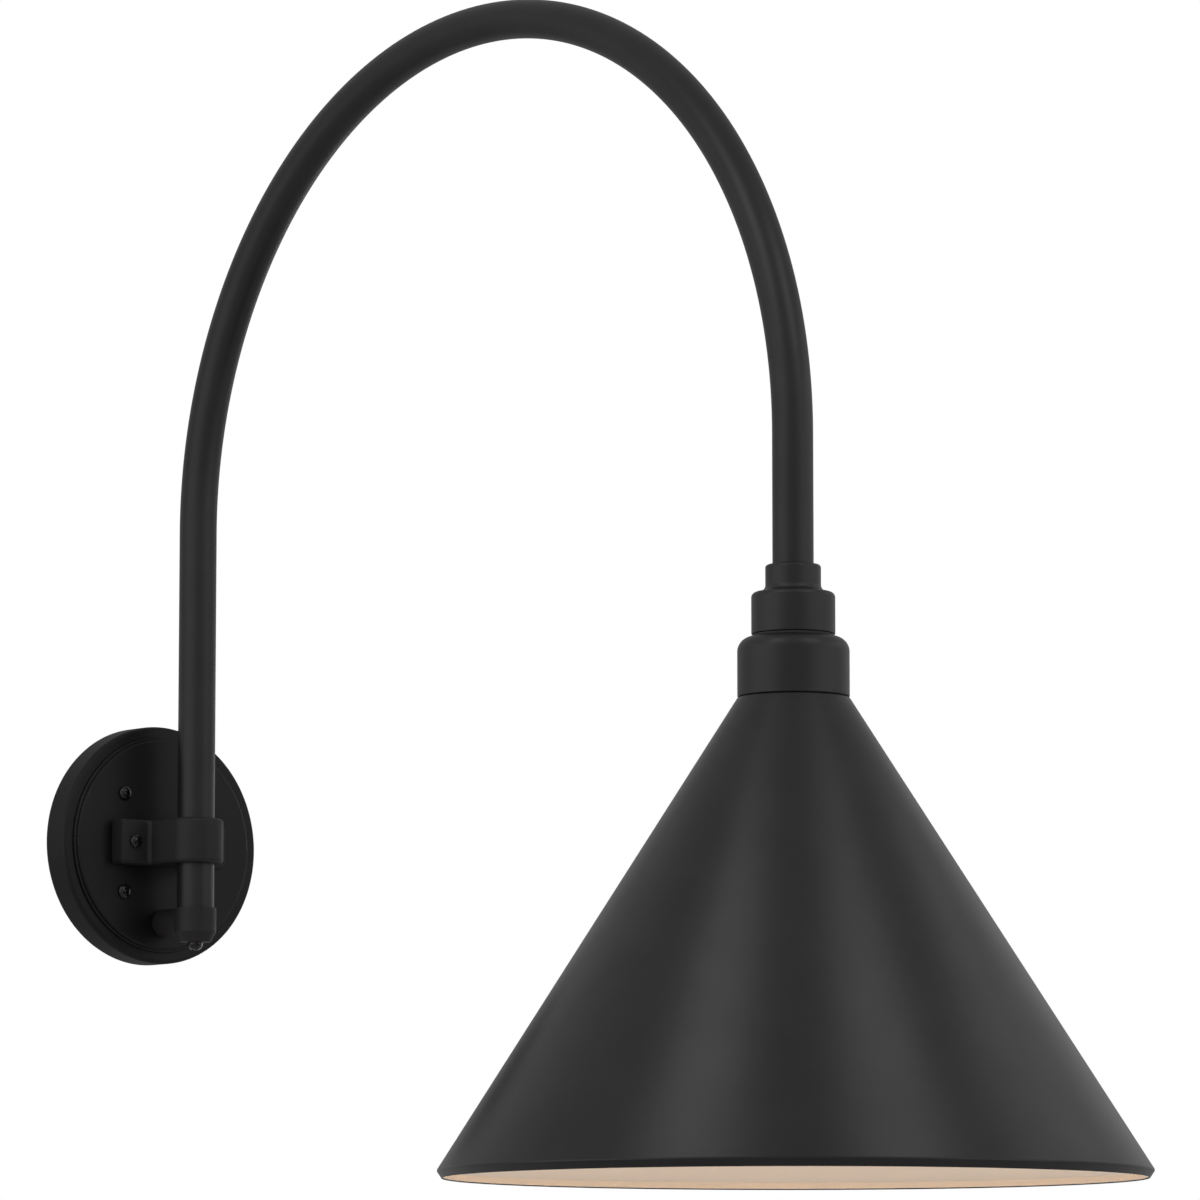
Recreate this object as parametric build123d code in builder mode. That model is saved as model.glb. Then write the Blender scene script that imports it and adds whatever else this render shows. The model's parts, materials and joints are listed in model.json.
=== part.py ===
from build123d import *
import os
from math import asin, atan2, cos, degrees, hypot, radians, sin, sqrt, tan

# Barn light for a wall: a round wall plate, a gooseneck arm of bent tube and a spun cone shade.
# Sizes are in millimetres. The origin is on the wall, at the middle of the wall plate.
# +X points out of the wall and +Z up, so the arm lies in the plane Y = 0.

# Clearances
slip_fit = 0.08  # radial room of a tube, thread or stem in its own bore
screw_room = 0.4  # radial room of a screw in a plain hole
seat_gap = 0.3  # room beside a piece that lies against a curved or loose neighbour

# Screw heads, as shares of a head's own diameter or height
head_round_share = 0.8
recess_length_share = 0.6
recess_width_share = 0.14
recess_depth_share = 0.5

# Wall plate and its gasket
plate_diameter = 152.4
plate_rim_depth = 19.6  # wall to the front of the outer ring
plate_ledge_depth = 21.3  # wall to the narrow ledge round the raised disc
plate_face_depth = 23.2  # wall to the face of the raised disc
disc_diameter = 134.6
ledge_width = 1.8
plate_wall = 2.6
rim_wall = 4.0
plate_edge_radius = 2.5
disc_edge_radius = 1.4
ledge_edge_radius = 0.8
gasket_thickness = 1.5
gasket_width = 6.0
gasket_inset = 0.6

# Wall screws
bolt_circle_diameter = 88.9
wall_screw_count = 4
wall_screw_first_angle = 45.0
wall_screw_diameter = 4.16  # over the thread
wall_screw_shank_diameter = 3.6  # plain part inside the plate
wall_screw_reach = 20.0  # threaded length that stands out behind the wall plate, into the box in the wall
wall_screw_head_diameter = 9.6
wall_screw_head_height = 3.4
pillar_diameter = 10.4

# Arm tube
tube_diameter = 23.8
tube_wall = 1.6
arm_depth = 57.2  # wall to the axis of the upright leg
arch_radius = 285.0
arch_height = 198.6  # height where the two legs run into the arch

# Arm bracket
ear_length = 82.2
ear_thickness = 10.5
bracket_height = 28.6
wrap_wall = 5.6
boss_draft = 4.0  # degrees that the boss narrows towards the tube
boss_root_radius = 3.0
bracket_edge_radius = 2.6
bracket_screw_spacing = 60.6
bracket_screw_diameter = 4.8
bracket_screw_head_diameter = 9.0
bracket_screw_head_height = 3.2
bracket_boss_diameter = 10.0
bracket_boss_length = 9.0
set_screw_diameter = 4.0
set_screw_recess = 0.4
hex_key_width = 2.0
hex_key_depth = 1.6

# Wire elbow at the foot of the arm
elbow_diameter = 26.6
elbow_top_height = -42.5
elbow_bottom_height = -64.2
elbow_floor_thickness = 6.6
elbow_bevel_width = 3.3
elbow_bevel_height = 6.3
stub_height = -50.5
stub_diameter = 17.8
nipple_diameter = 13.2
wireway_diameter = 9.0
nipple_reach = 9.0  # length of the elbow's thread behind the plate's wall
lock_nut_width = 19.0
lock_nut_thickness = 4.0
plug_head_diameter = 9.6
plug_head_height = 5.3
plug_diameter = 5.0
plug_length = 5.0

# Wiring
wire_diameter = 2.6
wire_spacing = 3.4
wire_bend_radius = 5.0
connector_diameter = 11.2
connector_tip_diameter = 8.0
connector_length = 22.0
connector_bore_depth = 8.0
connector_spacing = 15.0
connector_mouth_height = -31.0
wire_drop_depth = 6.5  # wall to the wires where they turn up behind the plate
ground_screw_height = -6.0
ground_boss_diameter = 9.0
ground_boss_length = 5.0
ground_screw_diameter = 3.5
ground_screw_head_diameter = 8.0
ground_screw_head_height = 2.6
ground_screw_length = 5.6
ground_wire_run = 6.0

# Neck hub
hub_bottom_height = 81.6
hub_body_diameter = 48.2
hub_body_height = 25.4
hub_shoulder_drop = 1.4
hub_shoulder_radius = 3.0
hub_collar_diameter = 32.0
hub_collar_height = 15.0
hub_collar_cove = 4.0
hub_collar_edge_radius = 1.8
hub_edge_radius = 0.9
arm_insertion_depth = 20.0
hub_web_thickness = 8.0
hub_wireway_diameter = 16.0

# Centre nipple and the stack on it
centre_nipple_diameter = 10.0
centre_nipple_bore = 7.2
nipple_end_length = 1.0
hub_gasket_thickness = 1.2
hub_gasket_inset = 0.6
clamp_washer_diameter = 34.0
clamp_washer_thickness = 1.5
nipple_nut_width = 14.0
nipple_nut_thickness = 5.0

# Socket housing
housing_diameter = 64.4
housing_bottom_height = 45.5
housing_wall = 2.0
housing_shoulder_radius = 8.6
housing_edge_radius = 0.9
lug_diameter = 7.2
lug_height = 12.0
shade_screw_count = 3
shade_screw_circle_diameter = 54.8
shade_screw_diameter = 3.0
shade_screw_head_diameter = 5.8
shade_screw_head_height = 2.0

# Shade
shade_diameter = 406.4  # over the rim
shade_bottom_height = -228.8
shade_top_diameter = 64.0
shade_sheet_thickness = 1.2
shade_bend_radius = 2.0
rim_bend_radius = 1.6
lip_length = 4.2
lip_angle = 34.0  # degrees that the lip leans inwards from upright
flange_hole_diameter = 47.2

# Lamp holder
strap_length = 46.0
strap_width = 14.0
strap_thickness = 2.0
strap_screw_spacing = 36.8
strap_screw_diameter = 3.5
strap_screw_head_diameter = 6.4
strap_screw_head_height = 2.4
socket_diameter = 46.0
socket_height = 45.2
socket_edge_radius = 2.0
socket_counterbore_depth = 10.0
pocket_length = 34.0
pocket_width = 20.0
pocket_depth = 13.0
socket_floor_thickness = 3.4
shell_wall = 0.5
shell_ring_width = 3.4
shell_recess = 1.0
contact_strip_width = 6.0
contact_strip_thickness = 0.8
contact_strip_overhang = 3.0
contact_stem_diameter = 4.0
contact_button_diameter = 9.0
contact_button_thickness = 1.5
terminal_spacing = 23.0
terminal_diameter = 3.0
terminal_head_diameter = 6.2
terminal_head_height = 2.2

# Bulb
bulb_room = 0.35  # radial room of the bulb's cap in the screw shell
bulb_cap_diameter = 26.0
bulb_cap_height = 20.0
bulb_cap_wall = 0.6
bulb_cap_top_diameter = 18.0
bulb_cap_taper = 3.0
bulb_insulator_height = 3.5
bulb_contact_diameter = 9.6
bulb_contact_height = 1.2
bulb_contact_edge_radius = 0.7
bulb_length = 108.0
bulb_diameter = 60.0
bulb_glass_wall = 1.0
bulb_seal_length = 5.0

# Places worked out from the sizes above
plate_radius = plate_diameter / 2
disc_radius = disc_diameter / 2
cavity_depth = plate_face_depth - plate_wall
tube_radius = tube_diameter / 2
tube_bore_radius = tube_radius + slip_fit
ear_front = plate_face_depth + ear_thickness
wrap_radius = tube_radius + wrap_wall
head_depth = arm_depth + 2 * arch_radius
hub_top = hub_bottom_height + hub_body_height + hub_collar_height
hub_body_top = hub_bottom_height + hub_body_height
arm_foot = elbow_bottom_height + elbow_floor_thickness
arm_end = hub_top - arm_insertion_depth
housing_top = hub_bottom_height - hub_gasket_thickness
housing_ceiling = housing_top - housing_wall
washer_bottom = housing_ceiling - clamp_washer_thickness
strap_top = washer_bottom - nipple_nut_thickness
socket_top = strap_top - strap_thickness
lower_nut_bottom = socket_top - nipple_nut_thickness
centre_nipple_bottom = lower_nut_bottom - nipple_end_length
socket_bottom = socket_top - socket_height
pocket_bottom = socket_top - pocket_depth
shell_top = pocket_bottom - socket_floor_thickness
shell_bottom = socket_bottom + shell_recess
bulb_cap_radius = bulb_cap_diameter / 2
shell_inner_radius = bulb_cap_radius + bulb_room
shell_outer_radius = shell_inner_radius + shell_wall
bulb_tip = shell_top - contact_button_thickness - seat_gap
bulb_cap_top = bulb_tip - bulb_contact_height - bulb_insulator_height
bulb_cap_bottom = bulb_cap_top - bulb_cap_height
nipple_tip_depth = cavity_depth - nipple_reach
connector_depth = cavity_depth - seat_gap - connector_diameter / 2
wire_radius = wire_diameter / 2

head_axis = Axis((head_depth, 0, 0), (0, 0, 1))
head_section = Plane(origin=(head_depth, 0, 0), x_dir=(1, 0, 0), z_dir=(0, -1, 0))


def wall_plane(depth):
    """A plane parallel to the wall, that far from it: its x is +Y, its y is +Z and it faces +X."""
    return Plane(origin=(depth, 0, 0), x_dir=(0, 1, 0), z_dir=(1, 0, 0))


def head_plane(height):
    """A level plane at that height, centred on the axis of the head."""
    return Plane(origin=(head_depth, 0, height), x_dir=(1, 0, 0), z_dir=(0, 0, 1))


def tangent_point(point, centre, radius):
    """Where a line from the point touches the circle, on the circle's outer side."""
    run = centre[0] - point[0]
    drop = centre[1] - point[1]
    reach = hypot(run, drop)
    angle = atan2(drop, run) + asin(radius / reach)
    length = sqrt(reach**2 - radius**2)
    return point[0] + length * cos(angle), point[1] + length * sin(angle)


def round_head_screw(head_diameter, head_height, shank_diameter, shank_length):
    """A screw along Z with a round head above Z = 0, a cross recess in the head and the shank below."""
    recess_width = head_diameter * recess_width_share
    recess_length = head_diameter * recess_length_share
    with BuildPart() as screw:
        with BuildSketch(Plane.XZ):
            with BuildLine():
                FilletPolyline(
                    (0, head_height),
                    (head_diameter / 2, head_height),
                    (head_diameter / 2, 0),
                    (shank_diameter / 2, 0),
                    (shank_diameter / 2, -shank_length),
                    (0, -shank_length),
                    radius=(0, head_height * head_round_share, 0, 0, 0, 0),
                    close=True,
                )
            make_face()
        revolve(axis=Axis.Z)
        with BuildSketch(Plane.XY.offset(head_height)):
            Rectangle(recess_length, recess_width)
            Rectangle(recess_width, recess_length)
        extrude(amount=-head_height * recess_depth_share, mode=Mode.SUBTRACT)
    return screw.part


def set_screw(length):
    """A headless screw along Z, with its tip on Z = 0 and a hexagon socket in its outer end."""
    with BuildPart() as screw:
        Cylinder(set_screw_diameter / 2, length, align=(Align.CENTER, Align.CENTER, Align.MIN))
        with BuildSketch(Plane.XY.offset(length)):
            RegularPolygon(hex_key_width / 2, 6, major_radius=False)
        extrude(amount=-hex_key_depth, mode=Mode.SUBTRACT)
    return screw.part


os.makedirs("parts", exist_ok=True)


# Wall gasket: a flat foam ring between the wall and the rim of the plate
with BuildPart() as wall_gasket:
    with BuildSketch(wall_plane(0)):
        Circle(plate_radius - gasket_inset)
        Circle(plate_radius - gasket_inset - gasket_width, mode=Mode.SUBTRACT)
    extrude(amount=gasket_thickness)

wall_gasket.part.label = "wall_gasket"
export_step(wall_gasket.part, "parts/wall_gasket.step")


# Wall plate: a cast dish with a stepped front, four screw pillars and the bosses for what it carries
with BuildPart() as wall_plate:
    ledge_radius = disc_radius + ledge_width
    with BuildSketch(Plane.XZ):
        with BuildLine():
            FilletPolyline(
                (gasket_thickness, plate_radius),
                (plate_rim_depth, plate_radius),
                (plate_rim_depth, ledge_radius),
                (plate_ledge_depth, ledge_radius),
                (plate_ledge_depth, disc_radius),
                (plate_face_depth, disc_radius),
                (plate_face_depth, 0),
                (cavity_depth, 0),
                (cavity_depth, disc_radius - plate_wall),
                (plate_rim_depth - plate_wall, disc_radius - plate_wall),
                (plate_rim_depth - plate_wall, plate_radius - rim_wall),
                (gasket_thickness, plate_radius - rim_wall),
                radius=(0, plate_edge_radius, 0, ledge_edge_radius, 0, disc_edge_radius, 0, 0, 0, 0, 0, 0),
                close=True,
            )
        make_face()
    revolve(axis=Axis.X)
    with BuildSketch(wall_plane(gasket_thickness)):
        with PolarLocations(bolt_circle_diameter / 2, wall_screw_count, wall_screw_first_angle):
            Circle(pillar_diameter / 2)
    extrude(amount=cavity_depth - gasket_thickness)
    with BuildSketch(wall_plane(cavity_depth - bracket_boss_length)):
        with Locations((-bracket_screw_spacing / 2, 0), (bracket_screw_spacing / 2, 0)):
            Circle(bracket_boss_diameter / 2)
    extrude(amount=bracket_boss_length)
    with BuildSketch(wall_plane(cavity_depth - ground_boss_length)):
        with Locations((0, ground_screw_height)):
            Circle(ground_boss_diameter / 2)
    extrude(amount=ground_boss_length)
    with BuildSketch(wall_plane(0)):
        with PolarLocations(bolt_circle_diameter / 2, wall_screw_count, wall_screw_first_angle):
            Circle(wall_screw_diameter / 2 + screw_room)
        with Locations((-bracket_screw_spacing / 2, 0), (bracket_screw_spacing / 2, 0)):
            Circle(bracket_screw_diameter / 2 + slip_fit)
        with Locations((0, stub_height)):
            Circle(nipple_diameter / 2 + screw_room)
    extrude(amount=plate_face_depth, mode=Mode.SUBTRACT)
    with BuildSketch(wall_plane(cavity_depth - ground_boss_length)):
        with Locations((0, ground_screw_height)):
            Circle(ground_screw_diameter / 2 + slip_fit)
    extrude(amount=ground_screw_length, mode=Mode.SUBTRACT)

wall_plate.part.label = "wall_plate"
export_step(wall_plate.part, "parts/wall_plate.step")


# Wall screws: four round-head screws, threaded where they stand out behind the plate
wall_screw = round_head_screw(
    wall_screw_head_diameter,
    wall_screw_head_height,
    wall_screw_shank_diameter,
    plate_face_depth,
)
with BuildPart(wall_plane(plate_face_depth)) as wall_screws:
    with PolarLocations(bolt_circle_diameter / 2, wall_screw_count, wall_screw_first_angle):
        add(wall_screw)
    with BuildSketch(wall_plane(0)):
        with PolarLocations(bolt_circle_diameter / 2, wall_screw_count, wall_screw_first_angle):
            Circle(wall_screw_diameter / 2)
    extrude(amount=-wall_screw_reach)

wall_screws.part.label = "wall_screws"
export_step(wall_screws.part, "parts/wall_screws.step")


# Arm bracket: a casting with two ears on the plate and a drafted boss that wraps the tube
with BuildPart() as arm_bracket:
    draft = radians(boss_draft)
    boss_tip = (arm_depth + wrap_radius * sin(draft), wrap_radius * cos(draft))
    boss_root = boss_tip[1] + tan(draft) * (boss_tip[0] - ear_front)
    with BuildSketch(Plane.XY.offset(-bracket_height / 2)):
        with Locations((plate_face_depth + ear_thickness / 2, 0)):
            Rectangle(ear_thickness, ear_length)
        with BuildLine():
            Polyline(
                (plate_face_depth, -boss_root),
                (ear_front, -boss_root),
                (boss_tip[0], -boss_tip[1]),
                (boss_tip[0], boss_tip[1]),
                (ear_front, boss_root),
                (plate_face_depth, boss_root),
                close=True,
            )
        make_face()
        with Locations((arm_depth, 0)):
            Circle(wrap_radius)
    extrude(amount=bracket_height)
    upright = arm_bracket.edges().filter_by(Axis.Z)
    at_ear_front = upright.filter_by_position(Axis.X, ear_front - slip_fit, ear_front + slip_fit)
    roots = at_ear_front.filter_by_position(Axis.Y, -boss_root - slip_fit, boss_root + slip_fit)
    fillet(roots, boss_root_radius)
    outline = arm_bracket.faces().filter_by(Axis.Z).edges()
    rims = outline.filter_by_position(Axis.X, plate_face_depth, head_depth, inclusive=(False, True))
    fillet(rims, bracket_edge_radius)
    with BuildSketch(Plane.XY.offset(-bracket_height / 2)):
        with Locations((arm_depth, 0)):
            Circle(tube_bore_radius)
    extrude(amount=bracket_height, mode=Mode.SUBTRACT)
    with BuildSketch(wall_plane(plate_face_depth)):
        with Locations((-bracket_screw_spacing / 2, 0), (bracket_screw_spacing / 2, 0)):
            Circle(bracket_screw_diameter / 2 + screw_room)
    extrude(amount=ear_thickness, mode=Mode.SUBTRACT)
    with BuildSketch(Plane(origin=(arm_depth, 0, 0), x_dir=(1, 0, 0), z_dir=(0, 1, 0))):
        Circle(set_screw_diameter / 2 + slip_fit)
    extrude(amount=wrap_radius, mode=Mode.SUBTRACT)

arm_bracket.part.label = "arm_bracket"
export_step(arm_bracket.part, "parts/arm_bracket.step")


# Bracket screws: one through each ear, into the bosses behind the plate
bracket_screw = round_head_screw(
    bracket_screw_head_diameter,
    bracket_screw_head_height,
    bracket_screw_diameter,
    ear_thickness + plate_wall + bracket_boss_length,
)
with BuildPart(wall_plane(ear_front)) as bracket_screws:
    with Locations((-bracket_screw_spacing / 2, 0), (bracket_screw_spacing / 2, 0)):
        add(bracket_screw)

bracket_screws.part.label = "bracket_screws"
export_step(bracket_screws.part, "parts/bracket_screws.step")


# Bracket set screw: presses on the tube from the side of the wrap
bracket_set_screw_plane = Plane(origin=(arm_depth, tube_bore_radius, 0), x_dir=(1, 0, 0), z_dir=(0, 1, 0))
with BuildPart(bracket_set_screw_plane) as bracket_set_screw:
    with Locations((0, 0)):
        add(set_screw(wrap_wall - slip_fit - set_screw_recess))

bracket_set_screw.part.label = "bracket_set_screw"
export_step(bracket_set_screw.part, "parts/bracket_set_screw.step")


# Gooseneck arm: one tube bent to a half circle between two straight legs, with a hole for the wires
with BuildPart() as gooseneck_arm:
    with BuildLine(Plane.XZ) as arm_line:
        Line((arm_depth, arm_foot), (arm_depth, arch_height))
        CenterArc((arm_depth + arch_radius, arch_height), arch_radius, 180, -180)
        Line((head_depth, arch_height), (head_depth, arm_end))
    with BuildSketch(Plane(origin=(arm_depth, 0, arm_foot), x_dir=(1, 0, 0), z_dir=(0, 0, 1))):
        Circle(tube_radius)
        Circle(tube_radius - tube_wall, mode=Mode.SUBTRACT)
    sweep(path=arm_line.wire())
    with BuildSketch(wall_plane(arm_depth)):
        with Locations((0, stub_height)):
            Circle(wireway_diameter / 2)
    extrude(amount=-tube_diameter, mode=Mode.SUBTRACT)

gooseneck_arm.part.label = "gooseneck_arm"
export_step(gooseneck_arm.part, "parts/gooseneck_arm.step")


# Wire elbow: a socket for the foot of the tube, with a stub and a threaded nipple through the plate
elbow_axis = Axis((arm_depth, 0, 0), (0, 0, 1))
elbow_section = Plane(origin=(arm_depth, 0, 0), x_dir=(1, 0, 0), z_dir=(0, -1, 0))
elbow_radius = elbow_diameter / 2
with BuildPart() as wire_elbow:
    with BuildSketch(elbow_section):
        with BuildLine():
            Polyline(
                (0, elbow_bottom_height),
                (elbow_radius - elbow_bevel_width, elbow_bottom_height),
                (elbow_radius, elbow_bottom_height + elbow_bevel_height),
                (elbow_radius, elbow_top_height),
                (0, elbow_top_height),
                close=True,
            )
        make_face()
    revolve(axis=elbow_axis)
    with BuildSketch(wall_plane(plate_face_depth)):
        with Locations((0, stub_height)):
            Circle(stub_diameter / 2)
    extrude(amount=arm_depth - plate_face_depth)
    with BuildSketch(wall_plane(nipple_tip_depth)):
        with Locations((0, stub_height)):
            Circle(nipple_diameter / 2)
    extrude(amount=plate_face_depth - nipple_tip_depth)
    with BuildSketch(Plane(origin=(arm_depth, 0, arm_foot), x_dir=(1, 0, 0), z_dir=(0, 0, 1))):
        Circle(tube_bore_radius)
    extrude(amount=elbow_top_height - arm_foot + stub_diameter, mode=Mode.SUBTRACT)
    with BuildSketch(wall_plane(nipple_tip_depth)):
        with Locations((0, stub_height)):
            Circle(wireway_diameter / 2)
    extrude(amount=arm_depth - nipple_tip_depth, mode=Mode.SUBTRACT)
    with BuildSketch(Plane(origin=(arm_depth, 0, elbow_bottom_height), x_dir=(1, 0, 0), z_dir=(0, 0, 1))):
        Circle(plug_diameter / 2 + slip_fit)
    extrude(amount=elbow_floor_thickness, mode=Mode.SUBTRACT)

wire_elbow.part.label = "wire_elbow"
export_step(wire_elbow.part, "parts/wire_elbow.step")


# Elbow plug: the domed screw that closes the elbow from below
plug = round_head_screw(plug_head_diameter, plug_head_height, plug_diameter, plug_length)
plug_plane = Plane(origin=(arm_depth, 0, elbow_bottom_height), x_dir=(1, 0, 0), z_dir=(0, 0, -1))
with BuildPart(plug_plane) as elbow_plug:
    with Locations((0, 0)):
        add(plug)

elbow_plug.part.label = "elbow_plug"
export_step(elbow_plug.part, "parts/elbow_plug.step")


# Elbow lock nut: holds the elbow's nipple from behind the plate
with BuildPart() as elbow_lock_nut:
    with BuildSketch(wall_plane(cavity_depth)):
        with Locations((0, stub_height)):
            RegularPolygon(lock_nut_width / 2, 6, major_radius=False)
            Circle(nipple_diameter / 2 + slip_fit, mode=Mode.SUBTRACT)
    extrude(amount=-lock_nut_thickness)

elbow_lock_nut.part.label = "elbow_lock_nut"
export_step(elbow_lock_nut.part, "parts/elbow_lock_nut.step")


# Neck hub: a casting in two steps, bored for the end of the arm and tapped for the centre nipple
hub_collar_radius = hub_collar_diameter / 2
hub_body_radius = hub_body_diameter / 2
centre_thread_radius = centre_nipple_diameter / 2 + slip_fit
hub_set_height = hub_top - (hub_collar_height - hub_collar_cove) / 2
with BuildPart() as neck_hub:
    with BuildSketch(head_section):
        with BuildLine():
            FilletPolyline(
                (tube_bore_radius, hub_top),
                (hub_collar_radius, hub_top),
                (hub_collar_radius, hub_body_top),
                (hub_body_radius, hub_body_top - hub_shoulder_drop),
                (hub_body_radius, hub_bottom_height),
                (centre_thread_radius, hub_bottom_height),
                (centre_thread_radius, hub_bottom_height + hub_web_thickness),
                (hub_wireway_diameter / 2, hub_bottom_height + hub_web_thickness),
                (hub_wireway_diameter / 2, arm_end),
                (tube_bore_radius, arm_end),
                radius=(
                    0,
                    hub_collar_edge_radius,
                    hub_collar_cove,
                    hub_shoulder_radius,
                    hub_edge_radius,
                    0,
                    0,
                    0,
                    0,
                    0,
                ),
                close=True,
            )
        make_face()
    revolve(axis=head_axis)
    with BuildSketch(Plane(origin=(head_depth, 0, hub_set_height), x_dir=(0, 1, 0), z_dir=(-1, 0, 0))):
        Circle(set_screw_diameter / 2 + slip_fit)
    extrude(amount=hub_collar_radius, mode=Mode.SUBTRACT)

neck_hub.part.label = "neck_hub"
export_step(neck_hub.part, "parts/neck_hub.step")


# Hub set screw: presses on the tube from the side that faces the wall
hub_set_screw_plane = Plane(
    origin=(head_depth - tube_bore_radius, 0, hub_set_height), x_dir=(0, 1, 0), z_dir=(-1, 0, 0)
)
with BuildPart(hub_set_screw_plane) as hub_set_screw:
    with Locations((0, 0)):
        add(set_screw(hub_collar_radius - tube_bore_radius - set_screw_recess))

hub_set_screw.part.label = "hub_set_screw"
export_step(hub_set_screw.part, "parts/hub_set_screw.step")


# Hub gasket: a rubber ring between the hub and the socket housing
with BuildPart() as hub_gasket:
    with BuildSketch(head_plane(housing_top)):
        Circle(hub_body_radius - hub_gasket_inset)
        Circle(centre_thread_radius, mode=Mode.SUBTRACT)
    extrude(amount=hub_gasket_thickness)

hub_gasket.part.label = "hub_gasket"
export_step(hub_gasket.part, "parts/hub_gasket.step")


# Centre nipple: a hollow threaded rod from the hub down to the lamp holder
with BuildPart() as centre_nipple:
    with BuildSketch(head_plane(centre_nipple_bottom)):
        Circle(centre_nipple_diameter / 2)
        Circle(centre_nipple_bore / 2, mode=Mode.SUBTRACT)
    extrude(amount=hub_bottom_height + hub_web_thickness - centre_nipple_bottom)

centre_nipple.part.label = "centre_nipple"
export_step(centre_nipple.part, "parts/centre_nipple.step")


# Socket housing: a cup with a rounded shoulder and three lugs inside for the shade's screws
housing_radius = housing_diameter / 2
with BuildPart() as socket_housing:
    with BuildSketch(head_section):
        with BuildLine():
            FilletPolyline(
                (centre_thread_radius, housing_top),
                (housing_radius, housing_top),
                (housing_radius, housing_bottom_height),
                (housing_radius - housing_wall, housing_bottom_height),
                (housing_radius - housing_wall, housing_ceiling),
                (centre_thread_radius, housing_ceiling),
                radius=(
                    0,
                    housing_shoulder_radius,
                    housing_edge_radius,
                    0,
                    housing_shoulder_radius - housing_wall,
                    0,
                ),
                close=True,
            )
        make_face()
    revolve(axis=head_axis)
    with BuildSketch(head_plane(housing_bottom_height)):
        with PolarLocations(shade_screw_circle_diameter / 2, shade_screw_count):
            Circle(lug_diameter / 2)
    extrude(amount=lug_height)
    with BuildSketch(head_plane(housing_bottom_height)):
        with PolarLocations(shade_screw_circle_diameter / 2, shade_screw_count):
            Circle(shade_screw_diameter / 2 + slip_fit)
    extrude(amount=lug_height, mode=Mode.SUBTRACT)

socket_housing.part.label = "socket_housing"
export_step(socket_housing.part, "parts/socket_housing.step")


# Clamp washer: spreads the upper nut's load over the top of the housing
with BuildPart() as clamp_washer:
    with BuildSketch(head_plane(washer_bottom)):
        Circle(clamp_washer_diameter / 2)
        Circle(centre_thread_radius, mode=Mode.SUBTRACT)
    extrude(amount=clamp_washer_thickness)

clamp_washer.part.label = "clamp_washer"
export_step(clamp_washer.part, "parts/clamp_washer.step")


# Nipple nuts: the upper one clamps the housing to the hub, the lower one holds the strap
with BuildPart() as nipple_nuts:
    for nut_bottom in (strap_top, lower_nut_bottom):
        with BuildSketch(head_plane(nut_bottom)):
            RegularPolygon(nipple_nut_width / 2, 6, major_radius=False)
            Circle(centre_thread_radius, mode=Mode.SUBTRACT)
        extrude(amount=nipple_nut_thickness)

nipple_nuts.part.label = "nipple_nuts"
export_step(nipple_nuts.part, "parts/nipple_nuts.step")


# Socket strap: the flat steel bar that carries the lamp holder
strap_screw_places = ((0, -strap_screw_spacing / 2), (0, strap_screw_spacing / 2))
with BuildPart() as socket_strap:
    with BuildSketch(head_plane(socket_top)):
        SlotOverall(strap_length, strap_width, rotation=90)
        Circle(centre_thread_radius, mode=Mode.SUBTRACT)
        with Locations(*strap_screw_places):
            Circle(strap_screw_diameter / 2 + slip_fit, mode=Mode.SUBTRACT)
    extrude(amount=strap_thickness)

socket_strap.part.label = "socket_strap"
export_step(socket_strap.part, "parts/socket_strap.step")


# Socket body: a porcelain block with a wiring pocket above and a round well for the screw shell below
terminal_places = ((-terminal_spacing / 2, 0), (terminal_spacing / 2, 0))
strap_screw_seat = socket_bottom + socket_counterbore_depth
with BuildPart() as socket_body:
    with BuildSketch(head_plane(socket_bottom)):
        Circle(socket_diameter / 2)
    extrude(amount=socket_height)
    fillet(socket_body.faces().sort_by(Axis.Z)[0].edges(), socket_edge_radius)
    with BuildSketch(head_plane(pocket_bottom)):
        SlotOverall(pocket_length, pocket_width)
    extrude(amount=pocket_depth, mode=Mode.SUBTRACT)
    with BuildSketch(head_plane(socket_bottom)):
        Circle(shell_outer_radius + slip_fit)
    extrude(amount=shell_top - socket_bottom, mode=Mode.SUBTRACT)
    with BuildSketch(head_plane(shell_top)):
        Circle(contact_stem_diameter / 2 + slip_fit)
        with Locations(*terminal_places):
            Circle(terminal_diameter / 2 + slip_fit)
    extrude(amount=socket_floor_thickness, mode=Mode.SUBTRACT)
    with BuildSketch(head_plane(socket_bottom)):
        with Locations(*strap_screw_places):
            Circle(strap_screw_diameter / 2 + screw_room)
    extrude(amount=socket_height, mode=Mode.SUBTRACT)
    with BuildSketch(head_plane(socket_bottom)):
        with Locations(*strap_screw_places):
            Circle(strap_screw_head_diameter / 2 + screw_room)
    extrude(amount=socket_counterbore_depth, mode=Mode.SUBTRACT)

socket_body.part.label = "socket_body"
export_step(socket_body.part, "parts/socket_body.step")


# Strap screws: hold the porcelain up against the strap
strap_screw = round_head_screw(
    strap_screw_head_diameter,
    strap_screw_head_height,
    strap_screw_diameter,
    strap_top - strap_screw_seat,
)
strap_screw_plane = Plane(origin=(head_depth, 0, strap_screw_seat), x_dir=(1, 0, 0), z_dir=(0, 0, -1))
with BuildPart(strap_screw_plane) as strap_screws:
    with Locations(*strap_screw_places):
        add(strap_screw)

strap_screws.part.label = "strap_screws"
export_step(strap_screws.part, "parts/strap_screws.step")


# Screw shell: the plated sheet cup that takes the bulb's cap
with BuildPart() as screw_shell:
    with BuildSketch(head_section):
        with BuildLine():
            Polyline(
                (shell_outer_radius - shell_ring_width, shell_top),
                (shell_outer_radius, shell_top),
                (shell_outer_radius, shell_bottom),
                (shell_inner_radius, shell_bottom),
                (shell_inner_radius, shell_top - shell_wall),
                (shell_outer_radius - shell_ring_width, shell_top - shell_wall),
                close=True,
            )
        make_face()
    revolve(axis=head_axis)

screw_shell.part.label = "screw_shell"
export_step(screw_shell.part, "parts/screw_shell.step")


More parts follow.
